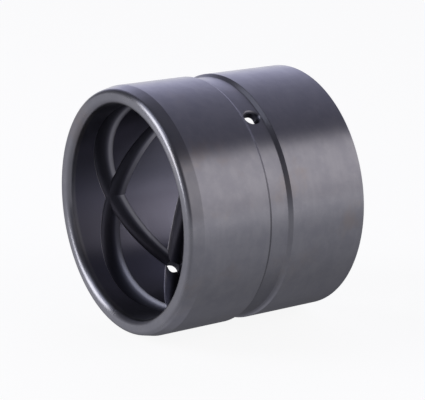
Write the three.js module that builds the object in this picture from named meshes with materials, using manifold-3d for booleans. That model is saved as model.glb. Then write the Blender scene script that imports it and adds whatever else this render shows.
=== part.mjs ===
// Hardened steel pin bushing for a heavy linkage joint, in millimetres, +Z up.
//
// The bore axis lies along Y and the bushing rests on its outer surface. The end with the
// long lead-in faces -Y and the plain end faces +Y. The origin is on the bore axis at mid-length.
// It is one piece of steel: a sleeve with a ring groove outside for grease, two oil holes
// through the floor of that groove, and four crossing grease grooves in the bore.

import * as THREE from 'three';
import * as BufferGeometryUtils from 'three/addons/utils/BufferGeometryUtils.js';
import Module from 'manifold-3d';

// Sleeve
const LENGTH = 86;
const OUTER_RADIUS = 52.5;
const BORE_RADIUS = 45;

// Lead-in end: a long shallow cone outside and a bevel at the bore
const LEAD_IN_LENGTH = 6.3;
const LEAD_IN_DEPTH = 1.3;
const BORE_ENTRY_LENGTH = 2;
const BORE_ENTRY_DEPTH = 1.8;

// Plain end: the sharp edges are only broken
const EDGE_BREAK = 0.5;

// Feed features share one centre plane, slightly beyond mid-length
const FEED_CENTRE_Y = 0.6;
const RING_GROOVE_WIDTH = 11.6;
const RING_GROOVE_FLOOR_WIDTH = 8.2;
const RING_GROOVE_DEPTH = 1.3;
const OIL_HOLE_RADIUS = 2.9;
const OIL_HOLE_RISE_DEG = 52.7;

// Grease grooves: each one runs once round the bore and swings along it as a sine wave
const GREASE_GROOVE_SWING = 28;
const GREASE_GROOVE_WIDTH = 9.2;
const GREASE_GROOVE_DEPTH = 2.4;
const GREASE_GROOVE_COUNT = 4;

// Faceting: one facet of every round face is centred on each of +X, -X, +Z and -Z
const ROUND_SEGMENTS = 48;
const HOLE_SEGMENTS = 24;
const GROOVE_ARC_SEGMENTS = 4;
const FACET_ANGLE = 2 * Math.PI / ROUND_SEGMENTS;

const wasm = await Module();
wasm.setup();

// A closed triangle geometry as a solid
function toSolid(geometry) {
  const bare = geometry.clone();
  bare.deleteAttribute('normal');
  bare.deleteAttribute('uv');
  const merged = BufferGeometryUtils.mergeVertices(bare);
  return new wasm.Manifold(new wasm.Mesh({
    numProp: 3,
    vertProperties: new Float32Array(merged.attributes.position.array),
    triVerts: new Uint32Array(merged.index.array),
  }));
}

// A solid as a geometry with flat facets
function toGeometry(solid) {
  const mesh = solid.getMesh();
  const indexed = new THREE.BufferGeometry();
  indexed.setAttribute('position', new THREE.BufferAttribute(mesh.vertProperties, 3));
  indexed.setIndex(new THREE.BufferAttribute(mesh.triVerts, 1));
  const flat = indexed.toNonIndexed();
  flat.computeVertexNormals();
  return flat;
}

// A closed [radius, y] outline turned about the bore axis
function turned(outline) {
  const points = [...outline, outline[0]].map(([radius, y]) => new THREE.Vector2(radius, y));
  return new THREE.LatheGeometry(points, ROUND_SEGMENTS, FACET_ANGLE / 2);
}

// The sleeve with every feature that runs straight round it
function sleeve() {
  const front = -LENGTH / 2;
  const back = LENGTH / 2;
  const halfGroove = RING_GROOVE_WIDTH / 2;
  const halfFloor = RING_GROOVE_FLOOR_WIDTH / 2;
  const floorRadius = OUTER_RADIUS - RING_GROOVE_DEPTH;
  return toSolid(turned([
    [BORE_RADIUS + BORE_ENTRY_DEPTH, front],
    [OUTER_RADIUS - LEAD_IN_DEPTH, front],
    [OUTER_RADIUS, front + LEAD_IN_LENGTH],
    [OUTER_RADIUS, FEED_CENTRE_Y - halfGroove],
    [floorRadius, FEED_CENTRE_Y - halfFloor],
    [floorRadius, FEED_CENTRE_Y + halfFloor],
    [OUTER_RADIUS, FEED_CENTRE_Y + halfGroove],
    [OUTER_RADIUS, back - EDGE_BREAK],
    [OUTER_RADIUS - EDGE_BREAK, back],
    [BORE_RADIUS + EDGE_BREAK, back],
    [BORE_RADIUS, back - EDGE_BREAK],
    [BORE_RADIUS, front + BORE_ENTRY_LENGTH],
  ]));
}

// One straight drill through both walls, tilted up from +X
function oilHoles() {
  const reach = OUTER_RADIUS + 1;
  const drill = new THREE.CylinderGeometry(OIL_HOLE_RADIUS, OIL_HOLE_RADIUS, 2 * reach, HOLE_SEGMENTS);
  drill.rotateZ(-Math.PI / 2);
  drill.rotateY(-THREE.MathUtils.degToRad(OIL_HOLE_RISE_DEG));
  drill.translate(0, FEED_CENTRE_Y, 0);
  return toSolid(drill);
}

// A ring with a rounded outer face that cuts one grease groove. Shearing the ring along Y turns
// its level path into a sine wave, so the groove keeps its section measured along the bore.
function greaseGroove(swingAngle) {
  const halfWidth = GREASE_GROOVE_WIDTH / 2;
  const arcRadius = (halfWidth ** 2 + GREASE_GROOVE_DEPTH ** 2) / (2 * GREASE_GROOVE_DEPTH);
  const arcCentre = BORE_RADIUS + GREASE_GROOVE_DEPTH - arcRadius;
  const clearance = 1;
  const innerRadius = BORE_RADIUS - clearance;
  const halfArc = Math.acos((innerRadius - arcCentre) / arcRadius);
  const outline = [];
  for (let i = 0; i <= GROOVE_ARC_SEGMENTS; i += 1) {
    const angle = halfArc * (2 * i / GROOVE_ARC_SEGMENTS - 1);
    outline.push([arcCentre + arcRadius * Math.cos(angle), arcRadius * Math.sin(angle)]);
  }
  const slope = GREASE_GROOVE_SWING / BORE_RADIUS;
  const ring = turned(outline);
  const alongX = slope * Math.cos(swingAngle);
  const alongZ = slope * Math.sin(swingAngle);
  ring.applyMatrix4(new THREE.Matrix4().makeShear(alongX, 0, 0, 0, 0, alongZ));
  ring.translate(0, FEED_CENTRE_Y, 0);
  return toSolid(ring);
}

// Two grooves cross at each oil hole, and the other two swing widest there
function bushingBody() {
  let body = sleeve().subtract(oilHoles());
  const holeAngle = THREE.MathUtils.degToRad(OIL_HOLE_RISE_DEG);
  for (let i = 0; i < GREASE_GROOVE_COUNT; i += 1) {
    body = body.subtract(greaseGroove(holeAngle + i * 2 * Math.PI / GREASE_GROOVE_COUNT));
  }
  const material = new THREE.MeshStandardMaterial({ color: 0x4b4a50, roughness: 0.35, metalness: 0.9 });
  const mesh = new THREE.Mesh(toGeometry(body), material);
  mesh.name = 'bushing_body';
  return mesh;
}

const bushing = new THREE.Group();
bushing.add(bushingBody());

export default bushing;
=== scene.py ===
import math

import bmesh
import bpy
from mathutils import Matrix, Vector


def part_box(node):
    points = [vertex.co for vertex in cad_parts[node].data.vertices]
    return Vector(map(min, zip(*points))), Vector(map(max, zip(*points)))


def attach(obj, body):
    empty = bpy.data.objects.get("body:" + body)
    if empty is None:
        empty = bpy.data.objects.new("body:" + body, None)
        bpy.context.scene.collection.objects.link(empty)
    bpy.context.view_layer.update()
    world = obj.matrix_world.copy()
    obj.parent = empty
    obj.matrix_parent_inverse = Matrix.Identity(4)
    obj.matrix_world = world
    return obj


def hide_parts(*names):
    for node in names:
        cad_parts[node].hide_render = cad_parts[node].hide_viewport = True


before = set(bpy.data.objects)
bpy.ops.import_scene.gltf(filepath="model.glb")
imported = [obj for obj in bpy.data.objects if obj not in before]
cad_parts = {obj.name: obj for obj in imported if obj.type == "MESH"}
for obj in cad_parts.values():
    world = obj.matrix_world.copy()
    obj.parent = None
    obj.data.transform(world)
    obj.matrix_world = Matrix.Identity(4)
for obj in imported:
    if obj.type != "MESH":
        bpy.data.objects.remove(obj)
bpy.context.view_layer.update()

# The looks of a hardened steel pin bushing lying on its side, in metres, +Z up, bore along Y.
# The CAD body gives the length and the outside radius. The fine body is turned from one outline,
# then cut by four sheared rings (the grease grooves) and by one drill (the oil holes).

MM = 0.001
CAD_NODE = "bushing_body"

# Main sizes. The CAD body is faceted, so its outside radius is that of its corners.
CAD_LOW, CAD_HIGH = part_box(CAD_NODE)
FRONT = CAD_LOW.y
BACK = CAD_HIGH.y
OUTER_RADIUS = max(math.hypot(v.co.x, v.co.z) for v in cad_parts[CAD_NODE].data.vertices)
BORE_RADIUS = 45 * MM

# Lead-in end
LEAD_IN_LENGTH = 6.3 * MM
LEAD_IN_DEPTH = 1.4 * MM
FACE_EDGE_ROUND = 2.3 * MM
LEAD_IN_BLEND = 2.0 * MM
BORE_ENTRY_ROUND = 2.8 * MM

# Plain end
EDGE_BREAK = 0.5 * MM
EDGE_BREAK_ROUND = 0.2 * MM

# Ring groove, oil holes and grease grooves share one centre plane
FEED_CENTRE_Y = 0.6 * MM
RING_GROOVE_WIDTH = 11.6 * MM
RING_GROOVE_FLOOR_WIDTH = 8.2 * MM
RING_GROOVE_DEPTH = 1.3 * MM
RING_FLOOR_RADIUS = OUTER_RADIUS - RING_GROOVE_DEPTH
RING_GROOVE_RIM_ROUND = 0.45 * MM
RING_GROOVE_FLOOR_ROUND = 0.8 * MM
OIL_HOLE_RADIUS = 2.9 * MM
OIL_HOLE_RISE = math.radians(52.7)
COUNTERSINK = 1.0 * MM
GREASE_GROOVE_SWING = 28 * MM
GREASE_GROOVE_WIDTH = 9.2 * MM
GREASE_GROOVE_DEPTH = 2.8 * MM
GREASE_GROOVE_RIM = 0.18 * MM
GREASE_GROOVE_COUNT = 4

# Mesh fineness
ROUND_SEGMENTS = 320
HOLE_SEGMENTS = 72
GROOVE_ARC_SEGMENTS = 16
ARC_STEP = math.radians(6)
SMOOTH_BELOW = math.radians(26)
CUTTER_CLEARANCE = 1 * MM

# Camera: where it stands around the bushing, and what it looks at
CAMERA_AZIMUTH = math.radians(55.93)
CAMERA_ELEVATION = math.radians(14.74)
CAMERA_DISTANCE = 0.7621
CAMERA_LENS = 151.85
AIM_RIGHT = 1.93 * MM
AIM_DOWN = 0.71 * MM


def collection_link(obj):
    bpy.context.scene.collection.objects.link(obj)
    return obj


# ---- outlines -------------------------------------------------------------------------------

def rounded(corners):
    """A closed outline from (x, y, round) corners: each corner with a round becomes an arc."""
    points = []
    count = len(corners)
    for i, (x, y, radius) in enumerate(corners):
        here = Vector((x, y))
        if radius == 0:
            points.append(here)
            continue
        to_last = (Vector(corners[i - 1][:2]) - here).normalized()
        to_next = (Vector(corners[(i + 1) % count][:2]) - here).normalized()
        opening = to_last.angle(to_next)
        turn = math.pi - opening
        reach = radius / math.tan(opening / 2)
        centre = here + (to_last + to_next).normalized() * radius / math.sin(opening / 2)
        start = here + to_last * reach - centre
        end = here + to_next * reach - centre
        steps = max(2, math.ceil(turn / ARC_STEP))
        for k in range(steps + 1):
            part = turn * k / steps
            arm = (start * math.sin(turn - part) + end * math.sin(part)) / math.sin(turn)
            points.append(centre + arm)
    return points


def body_outline():
    """The wall's section as (radius, y), once round it from the bore entry."""
    half_groove = RING_GROOVE_WIDTH / 2
    half_floor = RING_GROOVE_FLOOR_WIDTH / 2
    return rounded([
        (BORE_RADIUS, FRONT, BORE_ENTRY_ROUND),
        (OUTER_RADIUS - LEAD_IN_DEPTH, FRONT, FACE_EDGE_ROUND),
        (OUTER_RADIUS, FRONT + LEAD_IN_LENGTH, LEAD_IN_BLEND),
        (OUTER_RADIUS, FEED_CENTRE_Y - half_groove, RING_GROOVE_RIM_ROUND),
        (RING_FLOOR_RADIUS, FEED_CENTRE_Y - half_floor, RING_GROOVE_FLOOR_ROUND),
        (RING_FLOOR_RADIUS, FEED_CENTRE_Y + half_floor, RING_GROOVE_FLOOR_ROUND),
        (OUTER_RADIUS, FEED_CENTRE_Y + half_groove, RING_GROOVE_RIM_ROUND),
        (OUTER_RADIUS, BACK - EDGE_BREAK, EDGE_BREAK_ROUND),
        (OUTER_RADIUS - EDGE_BREAK, BACK, EDGE_BREAK_ROUND),
        (BORE_RADIUS + EDGE_BREAK, BACK, EDGE_BREAK_ROUND),
        (BORE_RADIUS, BACK - EDGE_BREAK, EDGE_BREAK_ROUND),
    ])


def groove_outline():
    """The section of one grease groove's cutter: an arc with both rims broken.

    Outside the arc, each rim turns in two steps, at the knee and at the edge, and the outline then
    runs on at the last slope into the empty bore.
    """
    half_width = GREASE_GROOVE_WIDTH / 2
    arc_radius = (half_width ** 2 + GREASE_GROOVE_DEPTH ** 2) / (2 * GREASE_GROOVE_DEPTH)
    arc_centre = BORE_RADIUS + GREASE_GROOVE_DEPTH - arc_radius
    join = half_width - GREASE_GROOVE_RIM
    join_radius = arc_centre + math.sqrt(arc_radius ** 2 - join ** 2)
    knee = half_width + GREASE_GROOVE_RIM
    knee_height = 0.25 * (join_radius - BORE_RADIUS)
    knee_radius = BORE_RADIUS + knee_height
    edge = half_width + 2 * GREASE_GROOVE_RIM
    slope = knee_height / (edge - knee)
    outside = edge + CUTTER_CLEARANCE
    outside_radius = BORE_RADIUS - slope * CUTTER_CLEARANCE
    inner_radius = outside_radius - CUTTER_CLEARANCE
    half_arc = math.asin(join / arc_radius)
    arc = []
    for i in range(GROOVE_ARC_SEGMENTS + 1):
        angle = half_arc * (2 * i / GROOVE_ARC_SEGMENTS - 1)
        arc.append(Vector((arc_centre + arc_radius * math.cos(angle), arc_radius * math.sin(angle))))
    low = [(inner_radius, -outside), (outside_radius, -outside), (knee_radius, -knee)]
    high = [(knee_radius, knee), (outside_radius, outside), (inner_radius, outside)]
    return [Vector(p) for p in low] + arc + [Vector(p) for p in high]


# ---- solids ---------------------------------------------------------------------------------

def turned(name, outline, segments):
    """A closed outline of (radius, y) turned about Y."""
    count = len(outline)
    verts = []
    for i in range(segments):
        angle = 2 * math.pi * (i + 0.5) / segments
        for radius, y in outline:
            verts.append((radius * math.sin(angle), y, radius * math.cos(angle)))
    faces = []
    for i in range(segments):
        this_ring = i * count
        next_ring = (i + 1) % segments * count
        for j in range(count):
            k = (j + 1) % count
            faces.append((this_ring + j, this_ring + k, next_ring + k, next_ring + j))
    return solid(name, verts, faces)


def drill(name, profile, segments):
    """An open (radius, height) profile turned about Z between two points on the axis."""
    verts = [(0, 0, profile[0][1]), (0, 0, profile[-1][1])]
    rings = profile[1:-1]
    for radius, height in rings:
        for i in range(segments):
            angle = 2 * math.pi * i / segments
            verts.append((radius * math.cos(angle), radius * math.sin(angle), height))
    faces = []
    last = 2 + (len(rings) - 1) * segments
    for i in range(segments):
        k = (i + 1) % segments
        faces.append((0, 2 + k, 2 + i))
        faces.append((1, last + i, last + k))
        for j in range(len(rings) - 1):
            low = 2 + j * segments
            high = low + segments
            faces.append((low + i, low + k, high + k, high + i))
    return solid(name, verts, faces)


def solid(name, verts, faces):
    mesh = bpy.data.meshes.new(name)
    mesh.from_pydata(verts, [], faces)
    obj = collection_link(bpy.data.objects.new(name, mesh))
    face_outwards(mesh)
    return obj


def face_outwards(mesh):
    """Turn every face of a closed mesh outwards."""
    work = bmesh.new()
    work.from_mesh(mesh)
    bmesh.ops.recalc_face_normals(work, faces=work.faces)
    work.to_mesh(mesh)
    work.free()


def oil_drill():
    """One drill through both walls, flared where it leaves the ring groove's floor."""
    reach = OUTER_RADIUS + CUTTER_CLEARANCE
    flare_start = RING_FLOOR_RADIUS - COUNTERSINK
    end_radius = OIL_HOLE_RADIUS + reach - flare_start
    side = [(OIL_HOLE_RADIUS, flare_start), (end_radius, reach), (0, reach)]
    profile = [(radius, -height) for radius, height in reversed(side)] + side
    cutter = drill("oil_drill", profile, HOLE_SEGMENTS)
    turn = Matrix.Rotation(math.pi / 2 - OIL_HOLE_RISE, 4, "Y")
    cutter.data.transform(Matrix.Translation((0, FEED_CENTRE_Y, 0)) @ turn)
    return cutter


def groove_cutter(index):
    """A turned ring sheared along Y, so that it swings along the bore as a sine wave."""
    angle = OIL_HOLE_RISE + index * 2 * math.pi / GREASE_GROOVE_COUNT
    cutter = turned(f"groove_cutter_{index}", groove_outline(), ROUND_SEGMENTS)
    slope = GREASE_GROOVE_SWING / BORE_RADIUS
    shear = Matrix.Identity(4)
    shear[1][0] = slope * math.cos(angle)
    shear[1][2] = slope * math.sin(angle)
    shear[1][3] = FEED_CENTRE_Y
    cutter.data.transform(shear)
    return cutter


def cut(body, cutters):
    """Cut the cutters out of the body and remove them."""
    for cutter in cutters:
        modifier = body.modifiers.new("cut", "BOOLEAN")
        modifier.operation = "DIFFERENCE"
        modifier.solver = "MANIFOLD"
        modifier.object = cutter
    bake_modifiers(body)
    for cutter in cutters:
        bpy.data.objects.remove(cutter)


def bake_modifiers(obj):
    """Replace an object's mesh by the one its modifiers make."""
    bpy.context.view_layer.update()
    seen = obj.evaluated_get(bpy.context.evaluated_depsgraph_get())
    mesh = bpy.data.meshes.new_from_object(seen)
    obj.modifiers.clear()
    obj.data = mesh


def smooth_by_area(obj):
    """Smooth shading that keeps real corners sharp and broad faces true."""
    obj.data.shade_smooth()
    obj.data.set_sharp_from_angle(angle=SMOOTH_BELOW)
    modifier = obj.modifiers.new("normals", "WEIGHTED_NORMAL")
    modifier.keep_sharp = True
    bake_modifiers(obj)


def make_body():
    body = turned("steel_bushing", body_outline(), ROUND_SEGMENTS)
    cutters = [groove_cutter(i) for i in range(GREASE_GROOVE_COUNT)]
    cut(body, cutters + [oil_drill()])
    smooth_by_area(body)
    return body


# ---- materials ------------------------------------------------------------------------------

def node(tree, kind, **values):
    """A new shader node with the given settings."""
    made = tree.nodes.new(kind)
    for key, value in values.items():
        setattr(made, key, value)
    return made


def feed(tree, socket, value):
    """Link value to the socket if it is an output, or set it there if it is a number or colour."""
    if isinstance(value, bpy.types.NodeSocket):
        tree.links.new(value, socket)
    else:
        socket.default_value = value


def calc(tree, operation, *inputs):
    made = node(tree, "ShaderNodeMath", operation=operation)
    for socket, value in zip(made.inputs, inputs):
        feed(tree, socket, value)
    return made.outputs[0]


def total(tree, first, *others):
    for other in others:
        first = calc(tree, "ADD", first, other)
    return first


def product(tree, first, *others):
    for other in others:
        first = calc(tree, "MULTIPLY", first, other)
    return first


def ramp(tree, value, low, high, from_value=0.0, to_value=1.0):
    """A smooth step of value: from_value below low, to_value above high."""
    made = node(tree, "ShaderNodeMapRange", interpolation_type="SMOOTHSTEP")
    for socket, given in zip(made.inputs, (value, low, high, from_value, to_value)):
        feed(tree, socket, given)
    return made.outputs[0]


def noise(tree, vector, scale, detail=2.0, roughness=0.5):
    made = node(tree, "ShaderNodeTexNoise")
    tree.links.new(vector, made.inputs["Vector"])
    made.inputs["Scale"].default_value = scale
    made.inputs["Detail"].default_value = detail
    made.inputs["Roughness"].default_value = roughness
    return made.outputs[0]


def blend(tree, factor, first, second):
    """The first colour where factor is 0, the second where it is 1."""
    made = node(tree, "ShaderNodeMix", data_type="RGBA")
    feed(tree, made.inputs["Factor"], factor)
    for socket, color in zip([i for i in made.inputs if i.type == "RGBA"], (first, second)):
        feed(tree, socket, color)
    return [o for o in made.outputs if o.type == "RGBA"][0]


def axes_of(tree, vector):
    split = node(tree, "ShaderNodeSeparateXYZ")
    tree.links.new(vector, split.inputs[0])
    return split.outputs


def fall(tree, value, low, high):
    """A smooth step of value: 1 below low, 0 above high."""
    return ramp(tree, value, low, high, 1.0, 0.0)


def ring_coordinates(tree, x, y, z, radius):
    """A vector that changes fast along the wall's section and slowly around the axis."""
    change_around = 0.012
    join = node(tree, "ShaderNodeCombineXYZ")
    feed(tree, join.inputs[0], product(tree, calc(tree, "DIVIDE", x, radius), change_around))
    feed(tree, join.inputs[1], total(tree, y, radius))
    feed(tree, join.inputs[2], product(tree, calc(tree, "DIVIDE", z, radius), change_around))
    return join.outputs[0]


def bore_mask(tree, y, radius):
    """1 in the bore, the grease grooves and the oil holes, 0 on the ends and outside."""
    within = fall(tree, radius, RING_FLOOR_RADIUS - 0.7 * MM, RING_FLOOR_RADIUS - 0.2 * MM)
    past_entry = ramp(tree, y, FRONT + 3.5 * MM, FRONT + 4.5 * MM)
    before_back = fall(tree, y, BACK - 1.2 * MM, BACK - 0.7 * MM)
    return product(tree, within, past_entry, before_back)


def ring_groove_mask(tree, y, radius):
    """1 on the floor of the ring groove, 0 outside it."""
    half_width = RING_GROOVE_WIDTH / 2
    from_centre = calc(tree, "ABSOLUTE", total(tree, y, -FEED_CENTRE_Y))
    low = fall(tree, radius, RING_FLOOR_RADIUS + 0.2 * MM, RING_FLOOR_RADIUS + 1.1 * MM)
    return product(tree, low, fall(tree, from_centre, half_width - 0.6 * MM, half_width))


def steel_material():
    """Turned steel with fine rings and a mottled film.

    The colours of the bore, of the groove walls and floors, and of the ring groove's underside stand
    in for shading: they were tuned until the tones in the camera's view came near the photo's.
    """
    material = bpy.data.materials.new("phosphated_steel")
    material.use_nodes = True
    tree = material.node_tree
    shader = tree.nodes["Principled BSDF"]
    shader.inputs["Metallic"].default_value = 1.0
    shader.inputs["Anisotropic"].default_value = 0.7
    shader.inputs["Anisotropic Rotation"].default_value = 0.25
    tangent = node(tree, "ShaderNodeTangent", direction_type="RADIAL", axis="Y")
    tree.links.new(tangent.outputs[0], shader.inputs["Tangent"])

    place = node(tree, "ShaderNodeTexCoord").outputs["Object"]
    x, y, z = axes_of(tree, place)
    radius = calc(tree, "SQRT", total(tree, product(tree, x, x), product(tree, z, z)))

    # Patterns
    rings = ring_coordinates(tree, x, y, z, radius)
    coarse_rings = noise(tree, rings, 420, 3)
    fine_rings = noise(tree, rings, 2600, 2)
    mottle = noise(tree, place, 150, 6, 0.65)
    stain = ramp(tree, noise(tree, place, 42, 5, 0.6), 0.54, 0.72)
    streak = ramp(tree, coarse_rings, 0.3, 0.7, 0.0, 0.45)

    # Places given painted shade (a darker colour) or a painted highlight (a brighter colour) instead
    # of the turned faces' colour
    depth = total(tree, radius, -BORE_RADIUS)
    inside = bore_mask(tree, y, radius)
    # Painted shade: the deep parts of the grease grooves and oil holes get a near-black colour. The
    # same mask also makes them rougher.
    recess = product(tree, inside, ramp(tree, depth, 0.9 * MM, 2.2 * MM))
    # Painted highlight: the shallow upper walls of the grease grooves and oil holes get a brighter
    # colour.
    groove_wall_highlight = product(tree, inside, ramp(tree, depth, 0.02 * MM, 0.08 * MM),
                          fall(tree, depth, 0.8 * MM, 1.6 * MM))
    # Painted shade: the ring groove's floor gets darker towards the bottom of the bushing.
    underside = product(tree, ring_groove_mask(tree, y, radius), fall(tree, z, -45 * MM, -12 * MM))
    front_end = fall(tree, y, FRONT + 1.5 * MM, FRONT + 3.5 * MM)

    clean = (0.268, 0.266, 0.276, 1)
    film = (0.238, 0.237, 0.252, 1)
    brown = (0.270, 0.238, 0.218, 1)
    # Painted shade: the bore, its grease grooves and its oil holes get a darker colour in place of
    # the tube's inner shading.
    bore_painted_shade = (0.172, 0.170, 0.203, 1)
    # Brighter colour for the painted highlight on the groove walls.
    painted_highlight_color = (0.350, 0.346, 0.362, 1)
    # Near-black for the painted shade in the deep grooves and under the ring groove.
    painted_shade_color = (0.045, 0.045, 0.055, 1)
    color = blend(tree, ramp(tree, mottle, 0.38, 0.66), clean, film)
    color = blend(tree, product(tree, stain, 0.6), color, brown)
    color = blend(tree, streak, color, film)
    # Painted shade over the whole bore.
    color = blend(tree, inside, color, bore_painted_shade)
    # Painted highlight on the groove walls.
    color = blend(tree, groove_wall_highlight, color, painted_highlight_color)
    # Painted shade in the deep parts of the grooves.
    color = blend(tree, product(tree, recess, 0.9), color, painted_shade_color)
    # Painted shade on the lower part of the ring groove's floor.
    color = blend(tree, product(tree, underside, 0.6), color, painted_shade_color)
    tree.links.new(color, shader.inputs["Base Color"])

    # The grooves' floors are made rougher than the turned faces, and the front end a little smoother
    turned_roughness = 0.26
    roughness = total(tree, turned_roughness, product(tree, coarse_rings, 0.05),
                      product(tree, mottle, 0.06), product(tree, recess, 0.14),
                      product(tree, front_end, -0.03))
    tree.links.new(roughness, shader.inputs["Roughness"])

    bump = node(tree, "ShaderNodeBump")
    bump.inputs["Strength"].default_value = 0.25
    bump.inputs["Distance"].default_value = 0.02 * MM
    height = product(tree, total(tree, fine_rings, coarse_rings), 0.5)
    tree.links.new(height, bump.inputs["Height"])
    tree.links.new(bump.outputs[0], shader.inputs["Normal"])
    return material


# ---- stage ----------------------------------------------------------------------------------

def make_floor():
    """A sheet under the bushing that glows, so that it looks near white."""
    reach = 12
    z = -OUTER_RADIUS
    corners = [(-reach, -reach, z), (reach, -reach, z), (reach, reach, z), (-reach, reach, z)]
    mesh = bpy.data.meshes.new("floor")
    mesh.from_pydata(corners, [], [(0, 1, 2, 3)])
    floor = collection_link(bpy.data.objects.new("floor", mesh))
    material = bpy.data.materials.new("floor_paper")
    material.use_nodes = True
    shader = material.node_tree.nodes["Principled BSDF"]
    shader.inputs["Base Color"].default_value = (0.15, 0.15, 0.15, 1)
    shader.inputs["Roughness"].default_value = 1
    shader.inputs["Specular IOR Level"].default_value = 0
    shader.inputs["Emission Color"].default_value = (1, 1, 1, 1)
    shader.inputs["Emission Strength"].default_value = 0.9
    mesh.materials.append(material)
    floor.visible_glossy = False
    floor.visible_diffuse = False


def panel(name, azimuth, elevation, distance, width, height, radiance):
    """A soft rectangular light facing the bushing. Azimuth is measured from +X towards +Y."""
    azimuth = math.radians(azimuth)
    elevation = math.radians(elevation)
    level = math.cos(elevation)
    away = Vector((math.cos(azimuth) * level, math.sin(azimuth) * level, math.sin(elevation)))
    light = bpy.data.lights.new(name, "AREA")
    light.shape = "RECTANGLE"
    light.size = width
    light.size_y = height
    brightest = max(radiance)
    light.color = [value / brightest for value in radiance]
    light.energy = brightest * math.pi * width * height
    obj = collection_link(bpy.data.objects.new(name, light))
    turn = away.to_track_quat("Z", "Y").to_matrix().to_4x4()
    obj.matrix_world = Matrix.Translation(away * distance) @ turn


def make_lights():
    """One tall soft box to the left of the camera, with a dimmer spill over it."""
    panel("key", 243, 16, 1.1, 0.54, 0.82, (3.80, 3.82, 4.08))
    panel("high_glow", 247, 50, 1.1, 0.80, 0.50, (0.70, 0.74, 0.95))


def tinted(tree, value, color):
    made = node(tree, "ShaderNodeVectorMath", operation="SCALE")
    feed(tree, made.inputs[0], color)
    feed(tree, made.inputs["Scale"], value)
    return made.outputs[0]


def lobe(tree, direction, axis, start, power):
    """1 along the axis, falling to 0 where the cosine to it is start."""
    made = node(tree, "ShaderNodeVectorMath", operation="DOT_PRODUCT")
    tree.links.new(direction, made.inputs[0])
    made.inputs[1].default_value = Vector(axis).normalized()
    rise = calc(tree, "DIVIDE", calc(tree, "SUBTRACT", made.outputs["Value"], start), 1 - start)
    return calc(tree, "POWER", calc(tree, "MAXIMUM", rise, 0.0), power)


def ceiling_light(tree, y, above):
    """A dim ceiling, brighter towards the back."""
    towards_back = product(tree, calc(tree, "MAXIMUM", y, 0.0), 2.6)
    amount = product(tree, above, total(tree, 1.0, towards_back))
    return tinted(tree, amount, (0.075, 0.074, 0.096))


def backdrop_light(tree, x, y, z):
    """A pale backdrop at the left and back, fading upwards and turning bluer."""
    neutral = (1.20, 1.20, 1.20, 1)
    bluish = (1.13, 1.14, 1.58, 1)
    sector = product(tree, ramp(tree, y, -0.25, 0.45), fall(tree, x, -0.25, 0.2))
    height = calc(tree, "POWER", calc(tree, "MAXIMUM", z, 0.0), 1.3)
    fade = calc(tree, "MAXIMUM", calc(tree, "SUBTRACT", 1.0, product(tree, height, 1.2)), 0.0)
    amount = product(tree, sector, fade, ramp(tree, z, -0.35, 0.02))
    return tinted(tree, amount, blend(tree, ramp(tree, z, 0.0, 0.35), neutral, bluish))


def wall_light(tree, x, y, z):
    """A light side wall at the right, with its top edge about 50 degrees up."""
    turn = math.radians(15)
    top_slope = 1.178
    outward = total(tree, product(tree, x, math.cos(turn)), product(tree, y, math.sin(turn)))
    under_top = calc(tree, "SUBTRACT", product(tree, outward, top_slope), z)
    amount = product(tree, ramp(tree, under_top, -0.16, 0.22), ramp(tree, z, -0.35, 0.32),
                     ramp(tree, outward, 0.0, 0.25), ramp(tree, y, -0.45, 0.38))
    return tinted(tree, amount, (1.060, 1.015, 1.050))


def front_light(tree, direction, z, above):
    """A soft glow low in front."""
    glow = lobe(tree, direction, (-0.2, -1, 0.0), 0.2, 1.0)
    return tinted(tree, product(tree, glow, fall(tree, z, 0.1, 0.6), above), (0.300, 0.300, 0.340))


def table_light(tree, x, y, z, below):
    """The table top under the bushing: unevenly lit, as a plane in the three axes and x times y."""
    amount = total(tree, 0.47, product(tree, x, 0.08), product(tree, x, y, 0.43),
                   product(tree, y, -0.165), product(tree, z, 0.12))
    return tinted(tree, product(tree, below, amount), (1.000, 1.000, 1.120))


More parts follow.
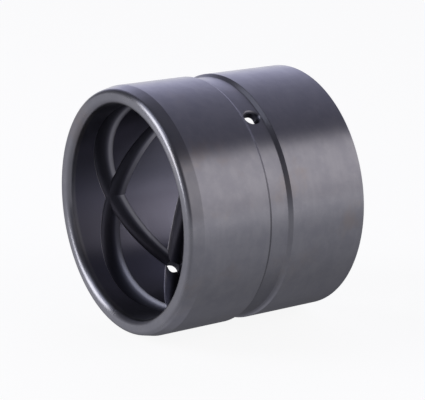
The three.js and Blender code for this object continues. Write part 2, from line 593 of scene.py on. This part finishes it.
def make_world():
    """The studio seen in the steel. The camera itself sees plain paper."""
    world = bpy.data.worlds.new("studio")
    world.use_nodes = True
    bpy.context.scene.world = world
    tree = world.node_tree
    direction = node(tree, "ShaderNodeTexCoord").outputs["Generated"]
    x, y, z = axes_of(tree, direction)
    above = ramp(tree, z, -0.06, 0.06)
    below = calc(tree, "SUBTRACT", 1.0, above)
    straight_under = lobe(tree, direction, (-0.2, 0.1, -1.0), 0.8, 2.0)

    light = ceiling_light(tree, y, above)
    for part in (
        backdrop_light(tree, x, y, z),
        wall_light(tree, x, y, z),
        front_light(tree, direction, z, above),
        table_light(tree, x, y, z, below),
        tinted(tree, straight_under, (0.200, 0.200, 0.240)),
    ):
        made = node(tree, "ShaderNodeVectorMath", operation="ADD")
        tree.links.new(light, made.inputs[0])
        tree.links.new(part, made.inputs[1])
        light = made.outputs[0]
    seen = node(tree, "ShaderNodeLightPath").outputs["Is Camera Ray"]
    paper = (0.955, 0.955, 0.955, 1)
    tree.links.new(blend(tree, seen, light, paper), tree.nodes["Background"].inputs["Color"])


def make_camera():
    azimuth = Vector((math.sin(CAMERA_AZIMUTH), -math.cos(CAMERA_AZIMUTH), 0))
    away = azimuth * math.cos(CAMERA_ELEVATION) + Vector((0, 0, math.sin(CAMERA_ELEVATION)))
    facing = away.to_track_quat("Z", "Y").to_matrix()
    right = facing @ Vector((1, 0, 0))
    up = facing @ Vector((0, 1, 0))
    centre = (CAD_LOW + CAD_HIGH) / 2
    aim = centre + right * AIM_RIGHT - up * AIM_DOWN
    data = bpy.data.cameras.new("camera")
    data.lens = CAMERA_LENS
    data.sensor_width = 36
    camera = collection_link(bpy.data.objects.new("camera", data))
    camera.matrix_world = Matrix.Translation(aim + away * CAMERA_DISTANCE) @ facing.to_4x4()
    bpy.context.scene.camera = camera


# ---- scene ----------------------------------------------------------------------------------

bushing = make_body()
bushing.data.materials.clear()
bushing.data.materials.append(steel_material())
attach(bushing, "root")
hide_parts(CAD_NODE)
make_floor()
make_lights()
make_world()
make_camera()
bpy.context.scene.view_settings.view_transform = "Standard"
